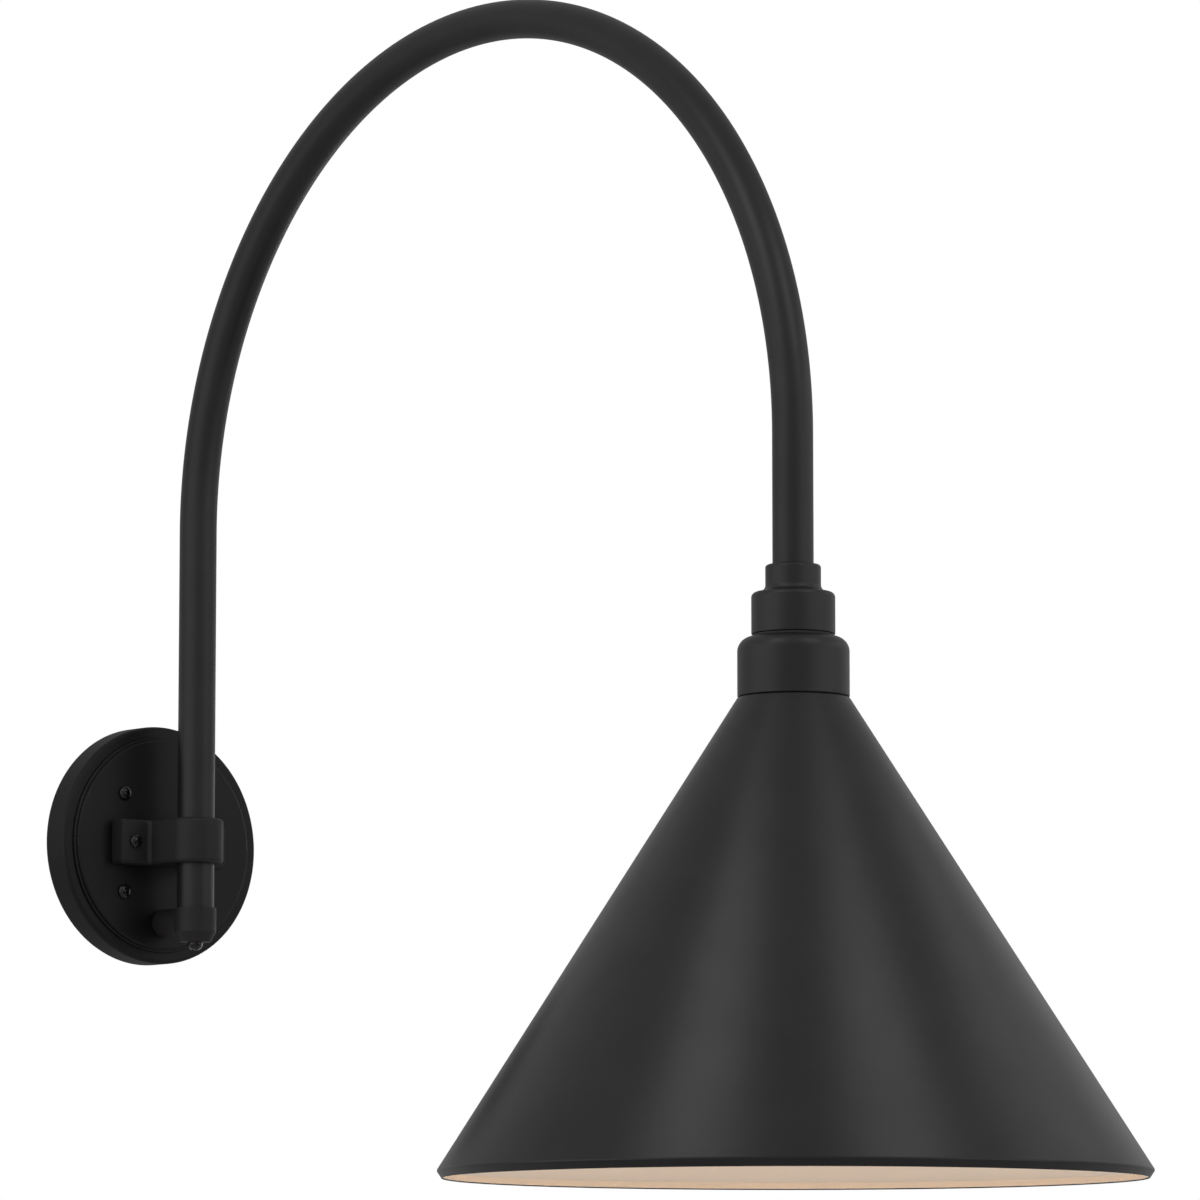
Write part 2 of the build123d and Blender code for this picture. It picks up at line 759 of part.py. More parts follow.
# Centre contact: a strip under the live terminal, with a stem down to the button over the bulb
with BuildPart() as centre_contact:
    with BuildSketch(head_plane(pocket_bottom)):
        with BuildLine():
            strip_half = contact_strip_width / 2
            strip_end = terminal_spacing / 2 + contact_strip_overhang
            Polyline(
                (-contact_strip_overhang, -strip_half),
                (strip_end, -strip_half),
                (strip_end, strip_half),
                (-contact_strip_overhang, strip_half),
                close=True,
            )
        make_face()
        with Locations((terminal_spacing / 2, 0)):
            Circle(terminal_diameter / 2 + slip_fit, mode=Mode.SUBTRACT)
    extrude(amount=contact_strip_thickness)
    with BuildSketch(head_plane(shell_top)):
        Circle(contact_stem_diameter / 2)
    extrude(amount=socket_floor_thickness)
    with BuildSketch(head_plane(shell_top)):
        Circle(contact_button_diameter / 2)
    extrude(amount=-contact_button_thickness)

centre_contact.part.label = "centre_contact"
export_step(centre_contact.part, "parts/centre_contact.step")


# Terminal screws: the live one stands on the contact strip, the neutral one on the pocket's floor
terminal_screw = round_head_screw(
    terminal_head_diameter,
    terminal_head_height,
    terminal_diameter,
    socket_floor_thickness,
)
with BuildPart(head_plane(pocket_bottom)) as terminal_screws:
    with Locations((terminal_spacing / 2, 0, contact_strip_thickness)):
        add(terminal_screw)
    with Locations((-terminal_spacing / 2, 0, 0)):
        add(terminal_screw)

terminal_screws.part.label = "terminal_screws"
export_step(terminal_screws.part, "parts/terminal_screws.step")


# Shade: one spun sheet, a flat flange under the housing, a straight cone and a lip turned in at the rim
shade_top = housing_bottom_height
lip_lean = radians(lip_angle)
rim_bend_centre = (
    shade_diameter / 2 - rim_bend_radius,
    shade_bottom_height + rim_bend_radius * sin(lip_lean) + lip_length * cos(lip_lean),
)
cone_top = (shade_top_diameter / 2, shade_top)
cone_foot = tangent_point(cone_top, rim_bend_centre, rim_bend_radius)
cone_angle = atan2(cone_foot[1] - cone_top[1], cone_foot[0] - cone_top[0])
rim_bend_start = degrees(cone_angle) + 90
rim_bend_turn = rim_bend_start + lip_angle
inner_rim_radius = rim_bend_radius - shade_sheet_thickness
lip_step = (-lip_length * sin(lip_lean), -lip_length * cos(lip_lean))
lip_foot, inner_lip_foot = [
    (rim_bend_centre[0] + radius * cos(lip_lean), rim_bend_centre[1] - radius * sin(lip_lean))
    for radius in (rim_bend_radius, inner_rim_radius)
]
cone_shift = (shade_sheet_thickness * sin(cone_angle), -shade_sheet_thickness * cos(cone_angle))
inner_foot = (cone_foot[0] + cone_shift[0], cone_foot[1] + cone_shift[1])
inner_top_radius = cone_top[0] - shade_sheet_thickness * tan(-cone_angle / 2)
with BuildPart() as shade:
    with BuildSketch(head_section):
        with BuildLine():
            FilletPolyline(
                (flange_hole_diameter / 2, shade_top),
                cone_top,
                cone_foot,
                radius=(shade_bend_radius,),
            )
            CenterArc(rim_bend_centre, rim_bend_radius, rim_bend_start, -rim_bend_turn)
            Polyline(
                lip_foot,
                (lip_foot[0] + lip_step[0], lip_foot[1] + lip_step[1]),
                (inner_lip_foot[0] + lip_step[0], inner_lip_foot[1] + lip_step[1]),
                inner_lip_foot,
            )
            CenterArc(rim_bend_centre, inner_rim_radius, -lip_angle, rim_bend_turn)
            FilletPolyline(
                inner_foot,
                (inner_top_radius, shade_top - shade_sheet_thickness),
                (flange_hole_diameter / 2, shade_top - shade_sheet_thickness),
                radius=(shade_bend_radius - shade_sheet_thickness,),
            )
            Line(
                (flange_hole_diameter / 2, shade_top - shade_sheet_thickness),
                (flange_hole_diameter / 2, shade_top),
            )
        make_face()
    revolve(axis=head_axis)
    with BuildSketch(head_plane(shade_top)):
        with PolarLocations(shade_screw_circle_diameter / 2, shade_screw_count):
            Circle(shade_screw_diameter / 2 + screw_room)
    extrude(amount=-shade_sheet_thickness, mode=Mode.SUBTRACT)

shade.part.label = "shade"
export_step(shade.part, "parts/shade.step")


# Shade screws: three from inside the shade up into the housing's lugs
shade_screw = round_head_screw(
    shade_screw_head_diameter,
    shade_screw_head_height,
    shade_screw_diameter,
    shade_sheet_thickness + lug_height,
)
flange_underside = shade_top - shade_sheet_thickness
shade_screw_plane = Plane(origin=(head_depth, 0, flange_underside), x_dir=(1, 0, 0), z_dir=(0, 0, -1))
with BuildPart(shade_screw_plane) as shade_screws:
    with PolarLocations(shade_screw_circle_diameter / 2, shade_screw_count):
        add(shade_screw)

shade_screws.part.label = "shade_screws"
export_step(shade_screws.part, "parts/shade_screws.step")


# Wire connectors: twist-on caps in the hollow of the plate, two over the lamp's wires and one on the earth
ground_wire_depth = cavity_depth - ground_boss_length - ground_screw_head_height / 2
ground_wire_top = ground_screw_height - ground_screw_head_diameter / 2 - slip_fit
ground_mouth_height = ground_wire_top - ground_wire_run
connector_bore_radius = wire_radius + slip_fit
with BuildPart() as connector:
    with BuildSketch(Plane.XZ):
        with BuildLine():
            Polyline(
                (0, connector_bore_depth),
                (connector_bore_radius, connector_bore_depth),
                (connector_bore_radius, 0),
                (connector_diameter / 2, 0),
                (connector_tip_diameter / 2, connector_length),
                (0, connector_length),
                close=True,
            )
        make_face()
    revolve(axis=Axis.Z)

with BuildPart() as wire_connectors:
    for side in (-1, 1):
        with Locations((connector_depth, side * connector_spacing, connector_mouth_height)):
            add(connector.part)
    with Locations(Location((ground_wire_depth, 0, ground_mouth_height), (180, 0, 0))):
        add(connector.part)

wire_connectors.part.label = "wire_connectors"
export_step(wire_connectors.part, "parts/wire_connectors.step")


# Ground screw: in its boss behind the plate
ground_stud = round_head_screw(
    ground_screw_head_diameter,
    ground_screw_head_height,
    ground_screw_diameter,
    ground_screw_length,
)
ground_screw_plane = Plane(
    origin=(cavity_depth - ground_boss_length, 0, ground_screw_height), x_dir=(0, 1, 0), z_dir=(-1, 0, 0)
)
with BuildPart(ground_screw_plane) as ground_screw:
    with Locations((0, 0)):
        add(ground_stud)

ground_screw.part.label = "ground_screw"
export_step(ground_screw.part, "parts/ground_screw.step")


# Ground wire: a short lead from the ground screw into its connector
with BuildPart() as ground_wire:
    with BuildSketch(Plane(origin=(ground_wire_depth, 0, ground_wire_top), z_dir=(0, 0, -1))):
        Circle(wire_radius)
    extrude(amount=ground_wire_run + connector_bore_depth - slip_fit)

ground_wire.part.label = "ground_wire"
export_step(ground_wire.part, "parts/ground_wire.step")


# Live and neutral wires: from a terminal up the nipple, round the arm, through the elbow to a connector
def lamp_wire(side, terminal_side):
    """One lamp wire: side is where it lies in Y, terminal_side is the terminal's side in X."""
    lane = side * wire_spacing / 2
    terminal_height = pocket_bottom + contact_strip_thickness + wire_radius + slip_fit
    terminal_edge = terminal_spacing / 2 - terminal_head_diameter / 2 - slip_fit
    connector_lane = side * connector_spacing
    rise_lane = (lane + connector_lane) / 2
    rise_height = stub_height + (connector_mouth_height - stub_height) / 2
    with BuildPart() as strand:
        with BuildLine() as line:
            FilletPolyline(
                (head_depth + terminal_side * terminal_edge, lane, terminal_height),
                (head_depth, lane, terminal_height),
                (head_depth, lane, arch_height),
                radius=(wire_bend_radius,),
            )
            with BuildLine(Plane.XZ.offset(-lane)):
                CenterArc((arm_depth + arch_radius, arch_height), arch_radius, 0, 180)
            FilletPolyline(
                (arm_depth, lane, arch_height),
                (arm_depth, lane, stub_height),
                (wire_drop_depth, lane, stub_height),
                (wire_drop_depth, rise_lane, rise_height),
                (connector_depth, connector_lane, connector_mouth_height - wire_bend_radius),
                (connector_depth, connector_lane, connector_mouth_height + connector_bore_depth - slip_fit),
                radius=wire_bend_radius,
            )
        with BuildSketch(Plane(origin=line.wire() @ 0, z_dir=line.wire() % 0)):
            Circle(wire_radius)
        sweep(path=line.wire())
    return strand.part


live_wire = lamp_wire(-1, 1)
live_wire.label = "live_wire"
export_step(live_wire, "parts/live_wire.step")

neutral_wire = lamp_wire(1, -1)
neutral_wire.label = "neutral_wire"
export_step(neutral_wire, "parts/neutral_wire.step")


# Bulb cap: the threaded shell of the bulb, open to the glass below and to the insulator above
with BuildPart() as bulb_cap:
    with BuildSketch(head_section):
        with BuildLine():
            cap_inner_radius = bulb_cap_radius - bulb_cap_wall
            cap_shoulder = bulb_cap_top - bulb_cap_taper
            Polyline(
                (bulb_cap_radius, bulb_cap_bottom),
                (bulb_cap_radius, cap_shoulder),
                (bulb_cap_top_diameter / 2, bulb_cap_top),
                (bulb_cap_top_diameter / 2 - bulb_cap_wall, bulb_cap_top),
                (cap_inner_radius, cap_shoulder - bulb_cap_wall),
                (cap_inner_radius, bulb_cap_bottom),
                close=True,
            )
        make_face()
    revolve(axis=head_axis)

bulb_cap.part.label = "bulb_cap"
export_step(bulb_cap.part, "parts/bulb_cap.step")


# Bulb insulator: the black glass cone on top of the cap
with BuildPart() as bulb_insulator:
    with BuildSketch(head_section):
        with BuildLine():
            Polyline(
                (0, bulb_cap_top),
                (bulb_cap_top_diameter / 2, bulb_cap_top),
                (bulb_contact_diameter / 2, bulb_cap_top + bulb_insulator_height),
                (0, bulb_cap_top + bulb_insulator_height),
                close=True,
            )
        make_face()
    revolve(axis=head_axis)

bulb_insulator.part.label = "bulb_insulator"
export_step(bulb_insulator.part, "parts/bulb_insulator.step")


# Bulb contact: the soldered tip
with BuildPart() as bulb_contact:
    with BuildSketch(head_plane(bulb_tip - bulb_contact_height)):
        Circle(bulb_contact_diameter / 2)
    extrude(amount=bulb_contact_height)
    fillet(bulb_contact.faces().sort_by(Axis.Z)[-1].edges(), bulb_contact_edge_radius)

bulb_contact.part.label = "bulb_contact"
export_step(bulb_contact.part, "parts/bulb_contact.step")


# Bulb glass: a hollow pear, sealed in the cap
with BuildPart() as bulb_glass:
    with BuildSketch(head_section):
        with BuildLine():
            neck_radius = bulb_cap_radius - bulb_cap_wall - slip_fit
            globe_radius = bulb_diameter / 2
            globe_centre = (0, bulb_tip - bulb_length + globe_radius)
            neck_foot = (neck_radius, bulb_cap_bottom)
            flank = tangent_point(neck_foot, globe_centre, globe_radius)
            inner_globe_radius = globe_radius - bulb_glass_wall
            inner_neck_foot = (neck_radius - bulb_glass_wall, bulb_cap_bottom)
            inner_flank = tangent_point(inner_neck_foot, globe_centre, inner_globe_radius)
            seal_top = bulb_cap_bottom + bulb_seal_length
            flank_angle = degrees(atan2(flank[1] - globe_centre[1], flank[0]))
            inner_flank_angle = degrees(atan2(inner_flank[1] - globe_centre[1], inner_flank[0]))
            Polyline(
                (neck_radius - bulb_glass_wall, seal_top),
                (neck_radius, seal_top),
                neck_foot,
                flank,
            )
            CenterArc(globe_centre, globe_radius, flank_angle, -90 - flank_angle)
            Line(
                (0, globe_centre[1] - globe_radius),
                (0, globe_centre[1] - inner_globe_radius),
            )
            CenterArc(globe_centre, inner_globe_radius, -90, 90 + inner_flank_angle)
            Polyline(
                inner_flank,
                inner_neck_foot,
                (neck_radius - bulb_glass_wall, seal_top),
            )
        make_face()
    revolve(axis=head_axis)

bulb_glass.part.label = "bulb_glass"
export_step(bulb_glass.part, "parts/bulb_glass.step")
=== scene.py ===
# %% [markdown]
# A barn light for a wall: a round plate, a gooseneck arm of bent tube and a spun cone shade with
# a bulb in it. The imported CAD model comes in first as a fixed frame. Every piece here is in
# metres in that same frame: the wall is the plane X = 0, +X points out of the wall and +Z up.

# %% Load the frame
import json
from math import asin, atan2, ceil, cos, degrees, hypot, pi, radians, sin, sqrt, tan

import bpy
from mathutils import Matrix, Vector


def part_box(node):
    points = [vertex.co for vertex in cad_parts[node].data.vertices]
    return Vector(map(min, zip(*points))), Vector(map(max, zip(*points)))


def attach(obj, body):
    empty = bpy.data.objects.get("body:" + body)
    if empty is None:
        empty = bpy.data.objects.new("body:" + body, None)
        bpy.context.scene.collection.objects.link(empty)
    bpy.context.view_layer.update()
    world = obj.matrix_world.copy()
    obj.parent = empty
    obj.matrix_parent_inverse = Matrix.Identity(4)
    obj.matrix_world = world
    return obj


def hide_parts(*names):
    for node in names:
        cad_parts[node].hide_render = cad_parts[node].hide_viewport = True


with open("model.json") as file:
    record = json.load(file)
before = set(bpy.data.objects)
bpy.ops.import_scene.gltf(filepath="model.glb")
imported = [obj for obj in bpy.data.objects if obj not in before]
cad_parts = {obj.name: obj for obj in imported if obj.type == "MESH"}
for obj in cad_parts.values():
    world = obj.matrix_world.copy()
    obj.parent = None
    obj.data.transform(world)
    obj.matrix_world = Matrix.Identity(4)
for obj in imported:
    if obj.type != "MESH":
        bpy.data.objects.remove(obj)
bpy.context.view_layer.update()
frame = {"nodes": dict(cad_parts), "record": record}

MM = 0.001
nodes = frame["nodes"]

# %% [markdown]
# The camera stands low and to the left of the lamp and looks up at it by seven degrees, so the
# rim of the shade shows a thin slice of the white inside. A long lens keeps the two legs of the
# arm nearly upright, as in the photograph. A constraint could aim the camera, but two plain
# angles say more: how far it tilts up from level, and its heading.

# %% Camera
lens_mm = 196.72
tilt_up, heading = radians(6.972), radians(49.771)
camera_data = bpy.data.cameras.new("photo_camera")
camera_data.sensor_width = 36
camera_data.lens = lens_mm
camera_data.clip_end = 300
camera = bpy.data.objects.new("photo_camera", camera_data)
bpy.context.collection.objects.link(camera)
camera.location = (3.4034, -2.4935, -0.3544)
camera.rotation_euler = (pi / 2 + tilt_up, 0, heading)
bpy.context.scene.camera = camera
print("camera at", tuple(camera.location), "lens", lens_mm, "mm")

# %% [markdown]
# Materials are node trees. One function turns a hex colour into the linear values that the
# shaders work in. One adds a node: its settings are given by name, and an input takes either a
# value or another node's output. One starts a material, with every even value on the shader's own
# socket.

# %% Colour and node helpers
def linear(hex_colour):
    """A hex colour such as #ff8800 as linear red, green, blue and alpha."""
    channels = [int(hex_colour[i : i + 2], 16) / 255 for i in (1, 3, 5)]
    return [c / 12.92 if c <= 0.04045 else ((c + 0.055) / 1.055) ** 2.4 for c in channels] + [1.0]


def add_node(tree, kind, inputs=(), **settings):
    """One node of that kind. inputs pairs a socket's name with a value or an output to link."""
    made = tree.nodes.new(kind)
    for name, value in settings.items():
        setattr(made, name, value)
    for name, value in dict(inputs).items():
        if isinstance(value, bpy.types.NodeSocket):
            tree.links.new(value, made.inputs[name])
        else:
            made.inputs[name].default_value = value
    return made


def new_material(name, **sockets):
    """A material with its shader's sockets set, and the place on the object for its patterns."""
    material = bpy.data.materials.new(name)
    material.use_nodes = True
    shader = material.node_tree.nodes["Principled BSDF"]
    for socket, value in sockets.items():
        shader.inputs[socket.replace("_", " ")].default_value = value
    place = add_node(material.node_tree, "ShaderNodeTexCoord").outputs["Object"]
    return material, material.node_tree, shader, place


print("mid grey #808080 is", round(linear("#808080")[0], 3), "in linear light")

# %% [markdown]
# No surface on the light is one flat colour, not even a black one. Two close tones in soft
# patches are enough: paint could also be brushed onto the mesh, but a noise on Object coordinates
# fits any shape and keeps its size in millimetres.

# %% Two close tones
def mottle(tree, shader, place, first, second, patch_mm, detail):
    """Colours a surface in two close tones, in patches of a size, and returns the pattern."""
    noise = {"Vector": place, "Scale": 1 / (patch_mm * MM), "Detail": detail}
    patches = add_node(tree, "ShaderNodeTexNoise", noise).outputs["Fac"]
    tones = {"Factor": patches, "A": linear(first), "B": linear(second)}
    tint = add_node(tree, "ShaderNodeMix", tones, data_type="RGBA")
    tree.links.new(tint.outputs["Result"], shader.inputs["Base Color"])
    return patches


print("patches of 10 mm have a noise scale of", round(1 / (10 * MM)))

# %% [markdown]
# Satin black powder coat is plastic powder that is melted onto the metal. It sets to a skin with
# a very fine orange peel, so wide soft reflections show and never a sharp one. A plain black
# would look like a hole in the picture, so each coat mixes two near blacks in cloudy patches,
# lets the gloss drift with them and adds the peel as a bump. The shader's coat layer is the skin,
# and the base under it has no gloss of its own.

# %% Powder coat
cloud_mm = 33.3
skin_drift = 0.1
peel_height = 0.1 * MM


def powder_coat(name, dark, light, roughness, skin, peel_mm, peel_depth):
    """Black powder coat: two near blacks, a gloss that drifts with them and a fine orange peel."""
    even = {"Specular_IOR_Level": 0.0, "Coat_Roughness": roughness}
    material, tree, shader, place = new_material(name, **even)
    clouds = mottle(tree, shader, place, dark, light, cloud_mm, 4.0)
    drift = {"Value": clouds, "To Min": skin * (1 - skin_drift), "To Max": skin * (1 + skin_drift)}
    gloss = add_node(tree, "ShaderNodeMapRange", drift)
    tree.links.new(gloss.outputs["Result"], shader.inputs["Coat Weight"])
    grain = {"Vector": place, "Scale": 1 / (peel_mm * MM), "Detail": 2.0}
    peel = add_node(tree, "ShaderNodeTexNoise", grain).outputs["Fac"]
    relief = {"Height": peel, "Strength": peel_depth, "Distance": peel_height}
    bump = add_node(tree, "ShaderNodeBump", relief)
    for socket in ("Normal", "Coat Normal"):
        tree.links.new(bump.outputs["Normal"], shader.inputs[socket])
    return material


# The waves of a real peel are about half a millimetre, too fine to show here, so they are drawn at
# 1.6 to 2.6 mm.
# The cast plate's coat is more matt than the head's castings, and its darker base is painted shade,
# so it stays nearly black with only a faint sheen.
plate_coat_painted_shade = powder_coat("matt_powder_coat_on_plate", "#060606", "#0a0a0a", 0.48, 0.29, 1.6, 0.12)
# The bracket and the elbow get a greyer matt base: painted light for the light from the side that
# falls on them.
bracket_coat_painted_light = powder_coat(
    "matt_powder_coat_on_bracket", "#1a1a1b", "#1f1f20", 0.5, 0.28, 1.6, 0.12
)
# The head's castings are satin: wide soft bands with no sharp edge.
cast_coat = powder_coat("powder_coat_on_casting", "#101011", "#151516", 0.42, 0.42, 1.6, 0.1)
# Drawn tube is smoother than a casting, so its peel is longer and flatter.
tube_coat = powder_coat("powder_coat_on_tube", "#111112", "#161617", 0.42, 0.41, 2.2, 0.06)
# The spun shade is the smoothest, and its bands are the clearest.
shade_coat = powder_coat("powder_coat_on_shade", "#101011", "#151516", 0.34, 0.4, 2.6, 0.05)
print("coats", [coat.name for coat in (plate_coat_painted_shade, bracket_coat_painted_light, cast_coat, tube_coat, shade_coat)])

# %% [markdown]
# The inside of the shade is white so that it throws the light down: an enamel that is sprayed on
# and baked, smooth and a touch warm. One plain white would do for a glance, but a sprayed coat is
# never quite even, so two close whites drift into each other over a few centimetres.

# %% White enamel
enamel_drift_mm = 55.6
# A soft gloss, which shows the bulb's light as one wide bloom.
white_enamel, tree, shader, place = new_material("white_baked_enamel", Roughness=0.38)
mottle(tree, shader, place, "#f0ece4", "#f7f4ee", enamel_drift_mm, 5.0)
print("enamel", white_enamel.name)

# %% [markdown]
# The small hardware is lacquered or plated steel, brass, porcelain, wire insulation and foam
# rubber. Each is named for what it is and how it was made. They differ in colour, in gloss and in
# being metal or not, so one function makes them all. Most of them hide in the head or behind the
# plate and show only from below or behind.

# %% Hardware finishes
def speckled(name, first, second, grain_mm, **sockets):
    """A material in two close tones, mixed in grains of the given size."""
    material, tree, shader, place = new_material(name, **sockets)
    mottle(tree, shader, place, first, second, grain_mm, 3.0)
    return material


# The grains of plating, lacquer and foam are some tenths of a millimetre at most, too fine to show
# here, so they are drawn at about a millimetre. The blur of a glaze is 6 mm, as it is.
finishes = {
    "cast_black": cast_coat,
    "tube_black": tube_coat,
    "shade_black": shade_coat,
    # Gloss black: a small bright point on each dome.
    "screw_black": speckled(
        "black_lacquered_steel", "#0b0b0b", "#141414", 1.0, Roughness=0.16, Specular_IOR_Level=0.2
    ),
    # A cool bright metal with soft grey blotches.
    "screw_steel": speckled(
        "zinc_plated_steel", "#b9bcc0", "#8f9499", 0.8, Metallic=1.0, Roughness=0.32
    ),
    # A dark metal that shines only where it faces a lamp.
    "set_screw_black": speckled(
        "black_oxide_steel", "#1a1a1c", "#26262a", 0.8, Metallic=1.0, Roughness=0.4
    ),
    # Dull and soft, with no reflection.
    "foam_rubber": speckled("closed_cell_foam", "#161616", "#242424", 0.7, Roughness=0.9),
    # Plating with a yellow wash, uneven like oil on water.
    "nipple_steel": speckled(
        "yellow_zinc_steel", "#b79c56", "#8d7c4e", 1.2, Metallic=1.0, Roughness=0.35
    ),
    # A deep wet gloss on a warm white.
    "porcelain": speckled("glazed_porcelain", "#ece8de", "#f4f1ea", 6.0, Roughness=0.16),
    # A warm yellow metal, dulled a little by the press.
    "brass": speckled("stamped_brass", "#b8923f", "#d0ab5c", 1.5, Metallic=1.0, Roughness=0.3),
    # Extruded plastic: even, with half a gloss.
    "wire_black": speckled("black_wire_insulation", "#121212", "#1c1c1c", 2.0, Roughness=0.5),
    "wire_white": speckled("white_wire_insulation", "#d8d6cf", "#e6e4de", 2.0, Roughness=0.5),
    "wire_green": speckled("green_wire_insulation", "#12632c", "#1a7a38", 2.0, Roughness=0.5),
    # Moulded plastic: a strong colour with the soft shine of a polished mould.
    "connector_orange": speckled("moulded_orange_nylon", "#d2691a", "#e07a28", 2.0, Roughness=0.4),
    # A green dye over bright plating.
    "ground_green": speckled(
        "green_dyed_zinc", "#2c7a46", "#1f6338", 1.0, Metallic=1.0, Roughness=0.35
    ),
    # A pale metal with streaks from the rollers.
    "bulb_aluminium": speckled(
        "rolled_aluminium", "#c2c4c8", "#a9adb2", 1.0, Metallic=1.0, Roughness=0.3
    ),
    # Nearly black, with a sharp shine.
    "bulb_black_glass": speckled("black_glass", "#0a0812", "#121016", 1.0, Roughness=0.12),
    # A soft grey metal, dulled by the iron.
    "solder": speckled("solder", "#9da0a2", "#7f8385", 1.0, Metallic=1.0, Roughness=0.45),
}
print("hardware finishes", len(finishes))

# %% [markdown]
# The bulb's glass has a fine white powder baked inside it, which hides the works and spreads the
# light over the whole bulb. Real glass with a lamp in it would be slow and noisy to render, so
# the glass is a white surface that gives off a warm light itself.

# %% Bulb glass
bulb_light = "#ffc588"
bulb_white, tree, shader, place = new_material(
    "soft_white_coated_glass",
    Roughness=0.3,
    Emission_Color=linear(bulb_light),
    Emission_Strength=5.0,
)
# The powder is finer than this: it is drawn at 0.9 mm so that it shows.
mottle(tree, shader, place, "#f2ece0", "#faf6ee", 0.9, 3.0)
finishes["bulb_glass"] = bulb_white
print("bulb", bulb_white.name)

# %% [markdown]
# Every CAD node whose shape is right stays, and takes the finish of its slot in the record. The
# wall plate and the fittings on it share a slot with the castings of the head, but get their own
# matt coats: the plate a darker one as painted shade, and the bracket and the elbow a greyer one as
# painted light.

# %% Finish every CAD node
# The plate's darker coat is painted shade, and the greyer coat on the bracket and the elbow is
# painted light.
painted_light_and_shade_coats = {"wall_plate": plate_coat_painted_shade, "arm_bracket": bracket_coat_painted_light, "wire_elbow": bracket_coat_painted_light}
for entry in frame["record"]["subparts"]:
    mesh = nodes[entry["node"]].data
    mesh.materials.clear()
    mesh.materials.append(painted_light_and_shade_coats.get(entry["node"], finishes[entry["material_slot"]]))

# %% [markdown]
# A turned or bent piece starts as one vertex or ring that is drawn along by extruding. These
# helpers start such an outline, draw it on, close the skin that a spin leaves, give it a wall and
# settle the piece: its place goes into its mesh, and it stands for its CAD node and rides on a
# body.

# %% Outline helpers
def start_outline(name, point, axis_point=None):
    """A new mesh in edit mode with one selected vertex at the point. Its origin is axis_point."""
    bpy.ops.object.select_all(action="DESELECT")
    bpy.ops.mesh.primitive_plane_add(size=MM, location=axis_point or point)
    piece = bpy.context.object
    piece.name = name
    piece.data.name = name
    bpy.ops.object.mode_set(mode="EDIT")
    bpy.ops.mesh.select_all(action="SELECT")
    bpy.ops.mesh.merge(type="CENTER")
    bpy.ops.transform.translate(value=Vector(point) - piece.location)
    return piece


def draw_to(across, up):
    """Extrudes the selected vertex or ring in the plane of the arm."""
    bpy.ops.mesh.extrude_region_move(TRANSFORM_OT_translate={"value": (across, 0, up)})


def close_skin():
    """Merges the seam that a spin leaves and points every face outwards."""
    bpy.ops.mesh.select_all(action="SELECT")
    bpy.ops.mesh.remove_doubles(threshold=0.005 * MM)
    bpy.ops.mesh.normals_make_consistent(inside=False)


def thicken(piece, name, thickness, inner_coat=0):
    """Gives a skin its wall, inwards. inner_coat is the step to the inside's material."""
    bpy.ops.object.mode_set(mode="OBJECT")
    wall = piece.modifiers.new(name, "SOLIDIFY")
    wall.thickness = thickness
    wall.offset = -1
    wall.material_offset = inner_coat
    bpy.ops.object.modifier_apply(modifier=wall.name)


def settle(piece, node, body, *coats):
    """Puts the piece's place into its mesh and lets it stand for a CAD node on its body."""
    bpy.ops.object.mode_set(mode="OBJECT")
    bpy.ops.object.transform_apply(location=True, rotation=True, scale=True)
    bpy.ops.object.shade_smooth_by_angle(angle=radians(35))
    for coat in coats:
        piece.data.materials.append(coat)
    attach(piece, body)
    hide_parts(node)
    size = [round(side / MM, 1) for side in piece.dimensions]
    print(piece.name, size, "mm", len(piece.data.polygons), "faces")


shade_low, shade_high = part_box("shade")
print("shade from", tuple(shade_low), "to", tuple(shade_high))

# %% [markdown]
# The shade is spun from one sheet on a lathe, so its outline is drawn once and turned. Extruding
# a vertex draws the flange, the cone and the lip, and spinning that vertex round a small centre
# makes the two bends between them. The lip is turned in, which stiffens the rim: from below it
# shows a black outer side, a thin black cut edge and a white inner side.

# %% Shade outline
head_x = (shade_low.x + shade_high.x) / 2
rim_radius = (shade_high.x - shade_low.x) / 2
shade_top = shade_high.z
flange_radius = 23.6 * MM
cone_top_radius = 32 * MM
bend_radius = 2 * MM
rim_bend_radius = 1.6 * MM
lip_length = 4.2 * MM
lip_lean = radians(34)
bend_steps, rim_steps = 6, 8

rim_bend_x = rim_radius - rim_bend_radius
rim_bend_z = shade_low.z + rim_bend_radius * sin(lip_lean) + lip_length * cos(lip_lean)
run, drop = rim_bend_x - cone_top_radius, shade_top - rim_bend_z
cone_slope = atan2(drop, run) - asin(rim_bend_radius / hypot(run, drop))
cone_length = sqrt(run**2 + drop**2 - rim_bend_radius**2)
bend_reach = bend_radius * tan(cone_slope / 2)
bend_centre = (head_x + cone_top_radius - bend_reach, 0, shade_top - bend_radius)
rim_centre = (head_x + rim_bend_x, 0, rim_bend_z)
rim_turn = pi / 2 - cone_slope + lip_lean
cone_run = cone_length - bend_reach

shade = start_outline("spun_shade", (head_x + flange_radius, 0, shade_top))
draw_to(cone_top_radius - bend_reach - flange_radius, 0)
bpy.ops.mesh.spin(steps=bend_steps, angle=cone_slope, center=bend_centre, axis=(0, -1, 0))
draw_to(cone_run * cos(cone_slope), -cone_run * sin(cone_slope))
bpy.ops.mesh.spin(steps=rim_steps, angle=rim_turn, center=rim_centre, axis=(0, -1, 0))
draw_to(-lip_length * sin(lip_lean), -lip_length * cos(lip_lean))
print("cone", round(degrees(cone_slope), 2), "degrees,", round(cone_length / MM, 1), "mm long")

# %% [markdown]
# The whole line is now spun round the head's axis. Solidify gives the sheet its thickness and
# puts the inside on the second material, so one sheet is black outside and white inside, as it is
# sprayed.

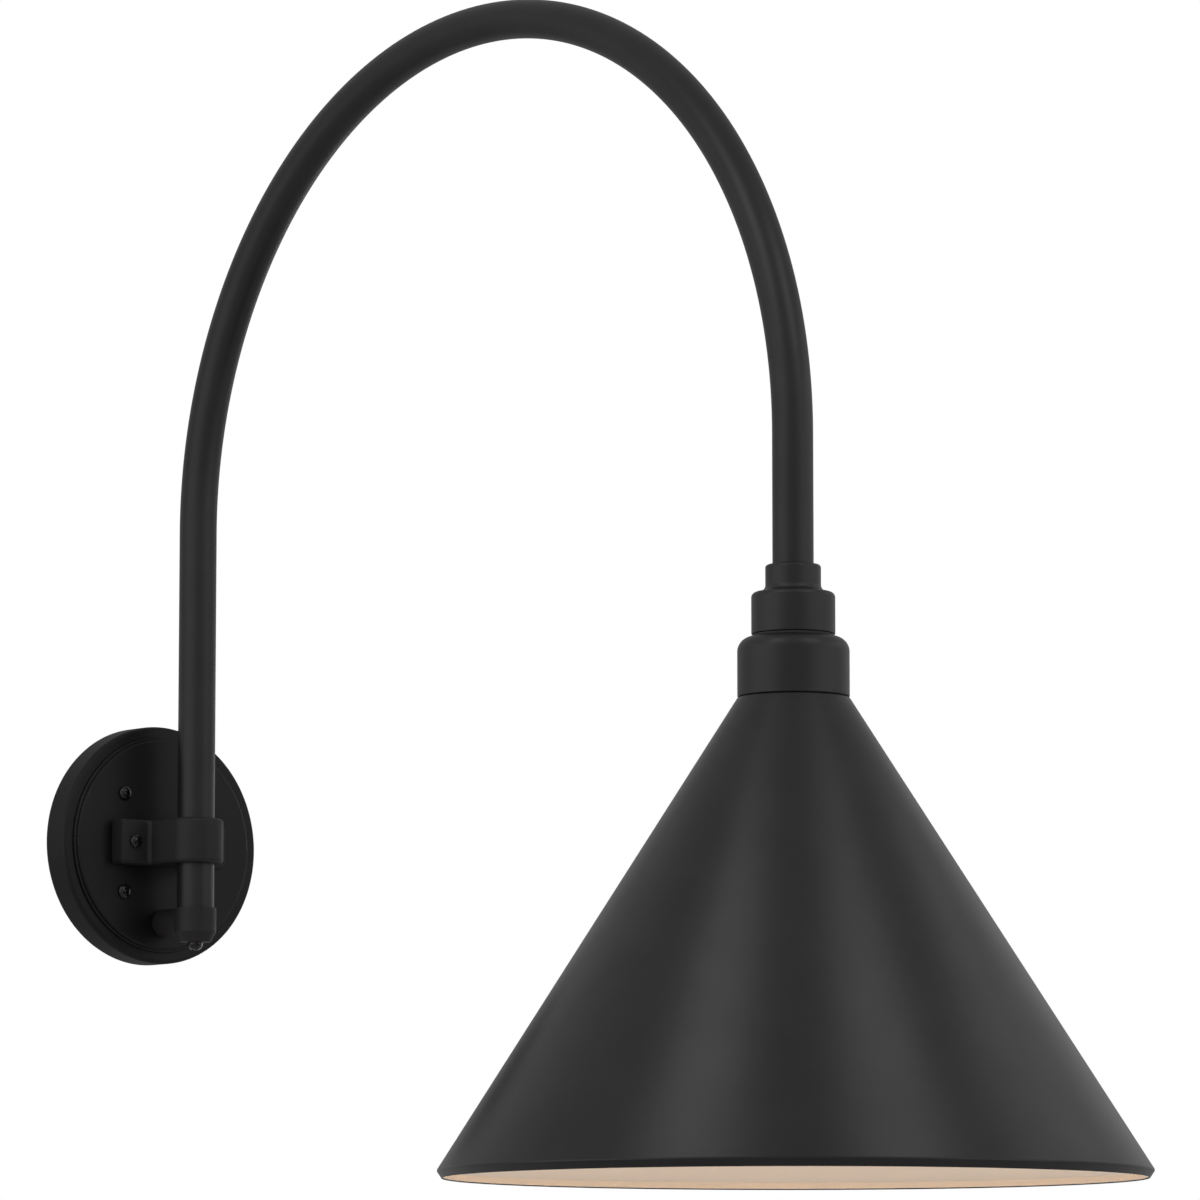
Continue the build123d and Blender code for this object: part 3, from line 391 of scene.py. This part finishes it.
# %% Spin the shade
sheet = 1.2 * MM
shade_steps = 192
bpy.ops.mesh.select_all(action="SELECT")
bpy.ops.mesh.spin(steps=shade_steps, angle=2 * pi, center=(head_x, 0, 0), axis=(0, 0, 1))
close_skin()
shade.data.materials.append(shade_coat)
shade.data.materials.append(white_enamel)
thicken(shade, "sheet", sheet, inner_coat=1)
settle(shade, "shade", "fixture")

# %% [markdown]
# The gooseneck arm is one tube bent round a former: two straight legs and a half circle. A curve
# with a bevel could make it too. Here a ring is extruded up the first leg, spun over the arch and
# extruded down the second leg, as the tube runs through the bender, because that keeps its faces
# even and its arch a true circle. Solidify makes it hollow, so its ends show a real wall.

# %% Gooseneck arm
arm_low, arm_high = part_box("gooseneck_arm")
tube_radius = (arm_high.y - arm_low.y) / 2
leg_x = arm_low.x + tube_radius
arch_radius = (head_x - leg_x) / 2
spring_z = arm_high.z - tube_radius - arch_radius
arm_in_hub = 20 * MM
arm_end_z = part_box("neck_hub")[1].z - arm_in_hub
tube_wall = 1.6 * MM
tube_faces, arch_steps = 64, 128

bpy.ops.object.select_all(action="DESELECT")
foot = (leg_x, 0, arm_low.z)
bpy.ops.mesh.primitive_circle_add(vertices=tube_faces, radius=tube_radius, location=foot)
arm = bpy.context.object
arm.name = arm.data.name = "bent_arm"
bpy.ops.object.mode_set(mode="EDIT")
bpy.ops.mesh.select_all(action="SELECT")
draw_to(0, spring_z - arm_low.z)
arch_centre = (leg_x + arch_radius, 0, spring_z)
bpy.ops.mesh.spin(steps=arch_steps, angle=pi, center=arch_centre, axis=(0, -1, 0))
draw_to(0, arm_end_z - spring_z)
close_skin()
thicken(arm, "tube wall", tube_wall)
settle(arm, "gooseneck_arm", "fixture", tube_coat)

# %% [markdown]
# A medium screw base is thin aluminium rolled into a round thread, seven turns to the inch.
# Stacked rings would look much the same from afar, but a real thread climbs, and that shows when
# the bulb turns. So one pitch of the outline is drawn and the Screw modifier winds it up the
# axis.

# %% Thread helpers
def roll_thread(name, foot, root, crest, pitch, turns, segments, waves=8):
    """A threaded tube in edit mode: one pitch of the thread, wound up the axis from its foot."""
    middle, swing = (root + crest) / 2, (crest - root) / 2
    radius = [middle - swing * cos(2 * pi * i / waves) for i in range(waves + 1)]
    piece = start_outline(name, (foot[0] + radius[0], foot[1], foot[2]), foot)
    for inner, outer in zip(radius, radius[1:]):
        draw_to(outer - inner, pitch / waves)
    bpy.ops.object.mode_set(mode="OBJECT")
    winding = piece.modifiers.new("winding", "SCREW")
    winding.axis = "Z"
    winding.screw_offset = pitch
    winding.iterations = turns
    winding.steps = winding.render_steps = segments
    bpy.ops.object.modifier_apply(modifier=winding.name)
    bpy.ops.object.mode_set(mode="EDIT")
    close_skin()
    return piece


def trim(height, keep_above, fill=False):
    """Cuts the piece level at a height, and leaves the cut selected."""
    bpy.ops.mesh.select_all(action="SELECT")
    level = {"plane_co": (0, 0, height), "plane_no": (0, 0, 1), "threshold": 0.001 * MM}
    bpy.ops.mesh.bisect(**level, use_fill=fill, clear_inner=keep_above, clear_outer=not keep_above)


def raise_edge(height):
    """Extrudes the selected edge straight up, or down where the height is negative."""
    bpy.ops.mesh.extrude_region_move(TRANSFORM_OT_translate={"value": (0, 0, height)})


cap_low, cap_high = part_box("bulb_cap")
cap_radius = (cap_high.x - cap_low.x) / 2
cap_pitch = 25.4 / 7 * MM
print("cap radius", round(cap_radius / MM, 2), "mm, pitch", round(cap_pitch / MM, 3), "mm")

# %% [markdown]
# The cap is that thread, trimmed level by Bisect. Its skirt and its taper are extruded from the
# two cuts, and To Sphere makes each cut a true ring again.

# %% Bulb cap
cap_thread_depth = 0.65 * MM
cap_turns, thread_segments = 7, 64
skirt_height = 4.5 * MM
cap_taper = 3 * MM
cap_top_radius = 9 * MM
cap_sheet = 0.25 * MM

foot = (head_x, 0, cap_low.z - cap_pitch)
cap_root = cap_radius - cap_thread_depth
cap_thread = cap_root, cap_radius, cap_pitch, cap_turns, thread_segments
cap = roll_thread("bulb_cap_thread", foot, *cap_thread)
trim(cap_low.z + skirt_height, keep_above=True)
raise_edge(-skirt_height)
bpy.ops.transform.tosphere(value=1)
trim(cap_high.z - cap_taper, keep_above=False)
raise_edge(cap_taper)
bpy.ops.transform.tosphere(value=1)
shrink = cap_top_radius / (cap_radius - cap_thread_depth / 2)
bpy.ops.transform.resize(value=(shrink, shrink, 1))
close_skin()
thicken(cap, "aluminium sheet", cap_sheet)
settle(cap, "bulb_cap", "bulb", finishes["bulb_aluminium"])

# %% [markdown]
# The screw shell of the lamp holder is brass sheet, rolled to the same thread and a little wider,
# with a ring turned in at its top. It shows when the bulb is out. It is wound like the cap,
# because the two fit into each other, and Solidify gives the sheet its thickness.

# %% Screw shell
shell_low, shell_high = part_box("screw_shell")
shell_radius = (shell_high.x - shell_low.x) / 2
shell_sheet = 0.35 * MM
shell_thread_depth = 0.35 * MM
shell_collar = 2 * MM
shell_ring = 3.4 * MM
shell_turns = ceil((shell_high.z - shell_low.z) / cap_pitch) + 2

foot = (head_x, 0, shell_low.z - cap_pitch)
shell_root = shell_radius - shell_thread_depth
shell_thread = shell_root, shell_radius, cap_pitch, shell_turns, thread_segments
shell = roll_thread("screw_shell_thread", foot, *shell_thread)
trim(shell_low.z, keep_above=True)
trim(shell_high.z - shell_collar, keep_above=False)
raise_edge(shell_collar)
bpy.ops.transform.tosphere(value=1, center_override=(head_x, 0, shell_high.z))
raise_edge(0)
shrink = (shell_radius - shell_ring) / (shell_radius - shell_thread_depth / 2)
bpy.ops.transform.resize(value=(shrink, shrink, 1))
close_skin()
thicken(shell, "brass sheet", shell_sheet)
settle(shell, "screw_shell", "fixture", finishes["brass"])

# %% [markdown]
# What repeats is modelled once and copied. These helpers select by place or normal, draw rings of
# a turned shape one above the other, and set the copies out, each with its own mesh.

# %% Selecting and copying
def pick_faces(piece, test):
    """Selects the faces that pass the test, in edit mode."""
    bpy.ops.object.mode_set(mode="EDIT")
    bpy.ops.mesh.select_mode(type="FACE")
    bpy.ops.mesh.select_all(action="DESELECT")
    bpy.ops.object.mode_set(mode="OBJECT")
    for face in piece.data.polygons:
        face.select = test(face)
    bpy.ops.object.mode_set(mode="EDIT")


def pick_open_edge():
    """Selects the edges that have a face on one side only."""
    bpy.ops.mesh.select_mode(type="VERT")
    bpy.ops.mesh.select_all(action="DESELECT")
    bpy.ops.mesh.select_non_manifold()


def choose(piece):
    """Makes one object the only one that an operator acts on."""
    bpy.ops.object.select_all(action="DESELECT")
    piece.select_set(True)
    bpy.context.view_layer.objects.active = piece


def ring_to(start, radius, height):
    """Extrudes the selected ring, which is at start, to a new radius and height."""
    raise_edge(height - start[1])
    bpy.ops.transform.resize(value=(radius / start[0], radius / start[0], 1))
    return radius, height


def close_top(ring, height):
    """Draws the selected ring together into one point at the height."""
    raise_edge(height - ring[1])
    bpy.ops.mesh.merge(type="CENTER")


def set_out(pattern, node, slot, places):
    """Copies a piece to each place and turn, with its own mesh, and removes the pattern."""
    for number, (place, turn) in enumerate(places, 1):
        choose(pattern)
        bpy.ops.object.duplicate()
        copy = bpy.context.object
        copy.name = copy.data.name = f"{pattern.data.name}_{number}"
        copy.location = place
        copy.rotation_euler = turn
        settle(copy, node, "fixture", finishes[slot])
    choose(pattern)
    bpy.ops.object.delete()


plate_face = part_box("wall_plate")[1].x
print("the plate's face is", round(plate_face / MM, 1), "mm off the wall")

# %% [markdown]
# The screws on the plate and in the bracket's ears are round-head machine screws: wire that is
# headed in a die, with a rolled thread and a cross pressed into the dome. A Boolean with a
# tapered cross makes the recess, because its walls meet the dome in curves that are hard to draw
# by hand. The result is cut into triangles and cleaned, so that the Boolean leaves no sliver
# behind.

# %% Cross in a screw head
cross_width, cross_length, cross_narrowing = 0.28, 1.2, 0.65


def cut_cross(screw, head_radius, head_height):
    """Cuts a cross out of the head: a post with four arms that narrows towards its bottom."""
    width, length = cross_width * head_radius, cross_length * head_radius
    bpy.ops.object.select_all(action="DESELECT")
    bpy.ops.mesh.primitive_cube_add(size=1, location=(0, 0, head_height))
    cross = bpy.context.object
    cross.scale = (width, width, head_height)
    bpy.ops.object.transform_apply(location=True, rotation=True, scale=True)
    pick_faces(cross, lambda face: abs(face.normal.z) < 0.1)
    bpy.ops.mesh.extrude_faces_move(TRANSFORM_OT_shrink_fatten={"value": (length - width) / 2})
    pick_faces(cross, lambda face: face.normal.z < -0.9)
    bpy.ops.transform.resize(value=(cross_narrowing, cross_narrowing, 1))
    bpy.ops.mesh.select_mode(type="VERT")
    bpy.ops.object.mode_set(mode="OBJECT")
    print("cross", [round(side / MM, 2) for side in cross.dimensions], "mm")
    choose(screw)
    cut = screw.modifiers.new("cross", "BOOLEAN")
    cut.operation = "DIFFERENCE"
    cut.object = cross
    bpy.ops.object.modifier_apply(modifier=cut.name)
    bpy.ops.object.mode_set(mode="EDIT")
    bpy.ops.mesh.select_all(action="SELECT")
    bpy.ops.mesh.quads_convert_to_tris()
    bpy.ops.mesh.dissolve_degenerate(threshold=0.002 * MM)
    bpy.ops.object.mode_set(mode="OBJECT")
    choose(cross)
    bpy.ops.object.delete()


# %% [markdown]
# One screw is modelled upright at the origin. Its thread is wound and trimmed, a ring is bridged
# to the upper cut, and the shank and the dome are extruded ring by ring from there, as the die
# forms them. Then it is laid on its side, with its head towards +X.

# %% Round-head screw
screw_pitch = 25.4 / 32 * MM
screw_thread_depth = 0.6 * screw_pitch
screw_segments = 32
screw_collar = 0.2 * MM
head_edge_share = 0.12
dome_rings, dome_step = 7, pi / 18


def round_head_screw(
    name, thread_radius, thread_length, shank_radius, shank_length, head_radius, head_height
):
    """A screw with its head's seat at the origin: thread, shank and a dome with a cross in it."""
    tip = -shank_length - thread_length
    turns = ceil(thread_length / screw_pitch) + 2
    thread = thread_radius - screw_thread_depth, thread_radius, screw_pitch, turns, screw_segments
    screw = roll_thread(name, (0, 0, tip - screw_pitch), *thread, waves=2)
    trim(tip, keep_above=True, fill=True)
    trim(-shank_length - screw_collar, keep_above=False)
    shank_ring = {"radius": shank_radius, "location": (0, 0, -shank_length)}
    bpy.ops.mesh.primitive_circle_add(vertices=screw_segments, **shank_ring)
    pick_open_edge()
    bpy.ops.mesh.bridge_edge_loops()
    pick_open_edge()
    edge_height = head_height * head_edge_share
    dome_height = head_height - edge_height
    ring = ring_to((shank_radius, -shank_length), shank_radius, 0)
    ring = ring_to(ring, head_radius, 0)
    ring = ring_to(ring, head_radius, edge_height)
    for step in range(1, dome_rings + 1):
        rise = step * dome_step
        ring = ring_to(ring, head_radius * cos(rise), edge_height + dome_height * sin(rise))
    close_top(ring, head_height)
    close_skin()
    bpy.ops.object.mode_set(mode="OBJECT")
    cut_cross(screw, head_radius, head_height)
    choose(screw)
    bpy.ops.object.transform_apply(location=True, rotation=True, scale=True)
    screw.rotation_euler = (0, pi / 2, 0)
    bpy.ops.object.transform_apply(location=True, rotation=True, scale=True)
    print(name, "modelled", len(screw.data.polygons), "faces")
    return screw


# %% [markdown]
# Four of these screws hold the plate to the wall box. They could all point one way, but screws
# stop where they stop, so each copy is turned by its own angle.

# %% Wall screws
wall_screw_low, wall_screw_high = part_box("wall_screws")
wall_head_radius = 4.8 * MM
wall_screw = round_head_screw(
    "wall_screw",
    thread_radius=2.08 * MM,
    thread_length=-wall_screw_low.x,
    shank_radius=1.8 * MM,
    shank_length=plate_face,
    head_radius=wall_head_radius,
    head_height=wall_screw_high.x - plate_face,
)
reach = wall_screw_high.y - wall_head_radius
corners = ((reach, reach, 20), (-reach, reach, 65), (-reach, -reach, 38), (reach, -reach, 5))
set_out(
    wall_screw,
    "wall_screws",
    "screw_black",
    [((plate_face, across, up), (radians(turn), 0, 0)) for across, up, turn in corners],
)

# %% [markdown]
# Two thicker ones hold the bracket's ears to bosses in the plate. They are the same kind of
# screw, so the same function makes them from their own sizes.

# %% Bracket screws
ear_low, ear_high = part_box("bracket_screws")
bracket_head_radius, bracket_head_height = 4.5 * MM, 3.2 * MM
plain_shank_in_plate = 2 * MM
ear_front = ear_high.x - bracket_head_height
ear_back = plate_face - plain_shank_in_plate
bracket_screw = round_head_screw(
    "bracket_screw",
    thread_radius=2.4 * MM,
    thread_length=ear_back - ear_low.x,
    shank_radius=2.1 * MM,
    shank_length=ear_front - ear_back,
    head_radius=bracket_head_radius,
    head_height=ear_high.x - ear_front,
)
reach = ear_high.y - bracket_head_radius
ears = ((-reach, 12), (reach, 52))
set_out(
    bracket_screw,
    "bracket_screws",
    "screw_black",
    [((ear_front, across, 0), (radians(turn), 0, 0)) for across, turn in ears],
)

# %% [markdown]
# A wire connector is a moulded cap that is twisted over the bare ends of the wires. It is
# extruded from a ring with a taper to a rounded end, and its mouth is extruded back up to make
# the bore.

# %% Wire connector
joint_low, joint_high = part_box("wire_connectors")
mouth_radius = 5.6 * MM
end_radius = 4 * MM
end_round = 1.8 * MM
cap_length = 22 * MM
bore_radius, bore_depth = 1.38 * MM, 8 * MM
skirt_top, grip_top = 4 * MM, 19 * MM
connector_faces = 36
end_rings, end_step = 4, pi / 10

bpy.ops.object.select_all(action="DESELECT")
bpy.ops.mesh.primitive_circle_add(vertices=connector_faces, radius=mouth_radius)
connector = bpy.context.object
connector.name = connector.data.name = "wire_connector"
bpy.ops.object.mode_set(mode="EDIT")
bpy.ops.mesh.select_all(action="SELECT")
taper = (mouth_radius - end_radius) / cap_length
ring = ring_to((mouth_radius, 0), mouth_radius - taper * skirt_top, skirt_top)
ring = ring_to(ring, mouth_radius - taper * grip_top, grip_top)
for step in range(1, end_rings + 1):
    rise = step * end_step
    round_radius = mouth_radius - taper * cap_length - end_round * (1 - cos(rise))
    ring = ring_to(ring, round_radius, grip_top + (cap_length - grip_top) * sin(rise))
close_top(ring, cap_length)
pick_open_edge()
ring = ring_to((mouth_radius, 0), bore_radius, 0)
ring = ring_to(ring, bore_radius, bore_depth)
bpy.ops.mesh.edge_face_add()
close_skin()
bpy.ops.object.mode_set(mode="OBJECT")
print("connector", len(connector.data.polygons), "faces, taper", round(taper, 4))

# %% [markdown]
# Its grip is a row of grooves for the fingers. A bump would vanish at its outline, so every
# second face of the wall is inset and pushed in. Then the three copies go over the splices.

# %% Grooves and places
groove_border, groove_depth = 0.12 * MM, 0.4 * MM


def is_groove(face):
    """Every second face of the grip."""
    number = round((atan2(face.center.y, face.center.x) / (2 * pi)) * connector_faces - 0.5)
    on_grip = skirt_top < face.center.z < grip_top and face.center.xy.length > end_radius
    return on_grip and number % 2 == 0


pick_faces(connector, is_groove)
bpy.ops.mesh.inset(thickness=groove_border, depth=-groove_depth, use_individual=True)
bpy.ops.mesh.select_mode(type="VERT")
bpy.ops.object.mode_set(mode="OBJECT")
lane_x, lane_y = joint_high.x - mouth_radius, joint_high.y - mouth_radius
set_out(
    connector,
    "wire_connectors",
    "connector_orange",
    [
        ((lane_x, lane_y, joint_high.z - cap_length), (0, 0, radians(8))),
        ((lane_x, -lane_y, joint_high.z - cap_length), (0, 0, radians(3))),
        ((joint_low.x + mouth_radius, 0, joint_low.z + cap_length), (pi, 0, 0)),
    ],
)

# %% [markdown]
# The light hangs in a white surround. The camera and every reflection see it at full white, and
# the object gets only a part of it as light, so that the blacks stay black. The pale floor lies
# far below, because the light hangs on a wall and is also looked at from below.

# %% Surround and floor
surround_light, surround_seen = 0.4, 1.0
floor_glow_seen = 0.45
floor_height, floor_side = -9, 240


def seen_level(tree, hidden, seen):
    """One strength for light that falls on things, one for what the camera or a mirror sees."""
    rays = add_node(tree, "ShaderNodeLightPath").outputs
    sight = rays["Is Camera Ray"]
    for kind in ("Is Glossy Ray", "Is Transmission Ray"):
        either = add_node(tree, "ShaderNodeMath", {0: sight, 1: rays[kind]}, operation="MAXIMUM")
        sight = either.outputs["Value"]
    levels = {"Value": sight, "To Min": hidden, "To Max": seen}
    return add_node(tree, "ShaderNodeMapRange", levels).outputs["Result"]


world = bpy.data.worlds.new("white_surround")
bpy.context.scene.world = world
world.use_nodes = True
backdrop = world.node_tree.nodes["Background"]
backdrop.inputs["Color"].default_value = linear("#ffffff")
surround = seen_level(world.node_tree, surround_light, surround_seen)
world.node_tree.links.new(surround, backdrop.inputs["Strength"])

bpy.ops.object.select_all(action="DESELECT")
bpy.ops.mesh.primitive_plane_add(size=floor_side, location=(0, 0, floor_height))
floor = bpy.context.object
floor.name = "floor"
floor_paint, tree, shader, _ = new_material(
    "pale_floor",
    Roughness=0.9,
    Base_Color=linear("#f4f4f4"),
    Emission_Color=linear("#ffffff"),
)
tree.links.new(seen_level(tree, 0.0, floor_glow_seen), shader.inputs["Emission Strength"])
floor.data.materials.append(floor_paint)
print("floor at", floor.location.z, "m")

# %% [markdown]
# Black paint shows its shape only by what it mirrors, so the soft boxes are placed by their
# bearing from the camera. A small box high on each side puts one bright band down each half of
# the cone. A wide box low on each side gives the tube its two soft edges, with a dark line
# between them, and one beside and one behind fill the far side. A thin strip behind on the right
# draws a fine bright edge down the plate's ledge and the fittings on it. The lamp is lit, so its
# own warm light comes back from below: a box there lights the inside of the shade evenly, which
# keeps the bulb's own glow low enough that its shape still shows.

# %% Lamps
def soft_box(name, turn, reach, height, aim_height, width, length, brightness):
    """An area lamp that faces the head's axis. turn is its bearing from the camera, in degrees."""
    lamp_data = bpy.data.lights.new(name, "AREA")
    lamp_data.shape = "RECTANGLE"
    lamp_data.size, lamp_data.size_y = width, length
    lamp_data.energy = brightness * width * length * pi
    lamp = bpy.data.objects.new(name, lamp_data)
    bpy.context.collection.objects.link(lamp)
    bearing = atan2(camera.location.y, camera.location.x - head_x) + radians(turn)
    lamp.location = (head_x + reach * cos(bearing), reach * sin(bearing), height)
    aim = Vector((head_x, 0, aim_height)) - lamp.location
    lamp.rotation_euler = aim.to_track_quat("-Z", "Y").to_euler()
    lamp.visible_camera = False
    print(name, [round(place, 2) for place in lamp.location], round(lamp_data.energy, 1), "W")
    return lamp


# Name, turn, reach, height, height of the aim, width, length, brightness.
soft_boxes = (
    ("left_strip", -44, 0.69, 0.75, -0.5, 0.42, 0.46, 3.5),
    ("right_strip", 45, 0.69, 0.75, -0.5, 0.42, 0.46, 3.25),
    ("left_wall", -62, 1.6, 0.2, 0.2, 1.8, 1.2, 1.3),
    ("right_wall", 64, 1.6, 0.2, 0.2, 1.6, 1.2, 1.05),
    ("right_side_box", 102, 0.8, 0.4, -0.2, 0.5, 0.36, 1.1),
    ("right_rear_box", 138, 1.3, 0.22, -0.1, 1.0, 0.7, 0.28),
    ("right_rim_strip", 173, 1.26, 0.0, 0.0, 0.1, 0.5, 5.0),
)
for box in soft_boxes:
    soft_box(*box)
glow = soft_box("glow_from_below", 0, 0.0, -1.4, 0.0, 1.4, 1.4, 0.9)
glow.data.color = linear(bulb_light)[:3]
glow.visible_glossy = False
bpy.context.scene.view_settings.view_transform = "Standard"
